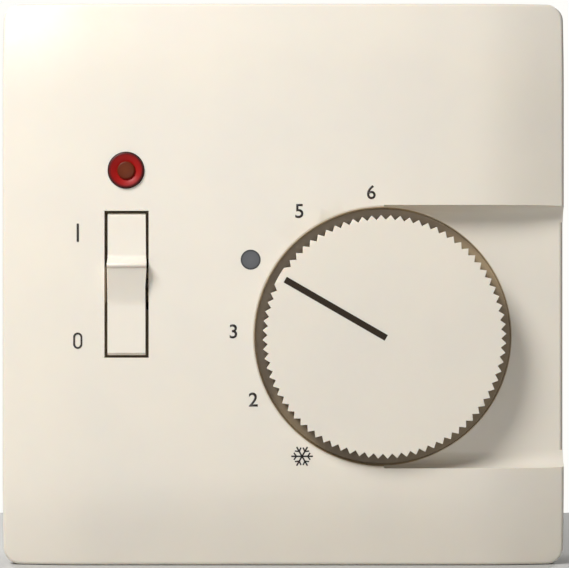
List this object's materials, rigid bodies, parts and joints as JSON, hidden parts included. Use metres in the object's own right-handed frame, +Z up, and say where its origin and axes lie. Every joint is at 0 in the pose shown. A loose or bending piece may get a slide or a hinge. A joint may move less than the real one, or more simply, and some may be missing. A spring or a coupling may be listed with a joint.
{
  "type": "wall thermostat",
  "caption": "Flush wall room thermostat: square plate, serrated dial in a pocket with a finger notch, slim rocker switch and red lamp, on a box insert.",
  "frame": {"origin": "centre of the support plate's back face, on the wall surface, midway between the box screws", "axes": "+Z up, +X to the right as seen from the room, -Y out of the wall into the room, +Y into the wall box"},
  "size_m": [0.07, 0.036, 0.07],
  "materials": {
    "ivory_plastic": "semi-gloss moulded",
    "ivory_matt_plastic": "fine-textured moulded",
    "pointer_brown": "smooth",
    "red_lens": "clear tinted",
    "red_plastic": "moulded",
    "blue_plastic": "moulded",
    "grey_plastic": "moulded",
    "white_plastic": "moulded",
    "sheet_steel": "zinc plated",
    "screw_steel": "zinc plated",
    "spring_steel": "bright",
    "bimetal": "rolled",
    "brass": "stamped",
    "silver_contact": "polished",
    "magnet": "sintered",
    "board": "resin-bonded paper laminate",
    "resistor_body": "lacquered",
    "capacitor_case": "moulded",
    "lamp_glass": "clear"
  },
  "bodies": {
    "base": {"cover_plate": "ivory_plastic", "cover_screw": "screw_steel", "indicator_lens": "red_lens", "mechanism_bracket": "sheet_steel", "lever_pivot_pin": "screw_steel", "lever_return_spring": "spring_steel", "magnet": "magnet", "magnet_yoke": "sheet_steel", "fixed_contact": "silver_contact", "fixed_contact_blade": "brass", "rocker_pivot_pin": "screw_steel", "bridge_support": "brass", "switch_fixed_contact": "brass", "support_plate": "sheet_steel", "front_housing": "grey_plastic", "rear_housing": "grey_plastic", "housing_screws": "screw_steel", "circuit_board": "board", "feedback_resistor": "resistor_body", "lamp_resistor": "resistor_body", "suppression_capacitor": "capacitor_case", "neon_lamp": "lamp_glass", "terminal_blocks": "brass", "terminal_screws": "screw_steel"},
    "dial": {"dial_knob": "ivory_matt_plastic", "pointer_inlay": "pointer_brown", "limit_ring_max": "red_plastic", "limit_ring_min": "blue_plastic", "setpoint_spindle": "white_plastic", "spindle_retaining_ring": "spring_steel", "friction_washer": "spring_steel", "setpoint_cam": "white_plastic"},
    "rocker": {"rocker_key": "ivory_plastic", "rocker_spring": "spring_steel"},
    "plunger": {"rocker_plunger": "white_plastic"},
    "bridge": {"contact_bridge": "brass", "bridge_contact": "silver_contact"},
    "lever": {"setpoint_lever": "white_plastic", "calibration_screw": "brass", "bimetal_clamp": "sheet_steel", "lever_pivot_clip": "spring_steel"},
    "bimetal": {"bimetal_strip": "bimetal", "moving_contact": "silver_contact", "armature": "sheet_steel"}
  },
  "joints": [
    {"name": "dial_turn", "type": "hinge", "parent": "base", "child": "dial", "pos_m": [0.0125, -0.0105, -0.0065], "axis": [0, -1, 0], "range_deg": [-56, 86]},
    {"name": "rocker_tilt", "type": "hinge", "parent": "base", "child": "rocker", "pos_m": [-0.01945, -0.0079, 0], "axis": [1, 0, 0], "range_deg": [0, 8]},
    {"name": "plunger_press", "type": "slide", "parent": "rocker", "child": "plunger", "axis": [0, -0.9976, 0.0698], "range_m": [0, 0.0005], "stiffness_N_per_m": 200, "deforming": ["rocker_spring"]},
    {"name": "bridge_tip", "type": "hinge", "parent": "base", "child": "bridge", "pos_m": [-0.01945, 0.001, 0], "axis": [1, 0, 0], "range_deg": [-12, 0]},
    {"name": "lever_swing", "type": "hinge", "parent": "base", "child": "lever", "pos_m": [0, 0.0027, -0.0145], "axis": [0, -1, 0], "range_deg": [-1.7, 2.6], "deforming": ["lever_return_spring"]},
    {"name": "bimetal_flex", "type": "hinge", "parent": "lever", "child": "bimetal", "pos_m": [-0.0044, 0.0021, -0.01], "axis": [0, -1, 0], "range_deg": [0, 2.5], "stiffness_Nm_per_rad": 0.05}
  ],
  "couplings": [
    {"joint": "bridge_tip", "follows": "rocker_tilt", "ratio": -1.5},
    {"joint": "lever_swing", "follows": "dial_turn", "ratio": 0.03}
  ]
}
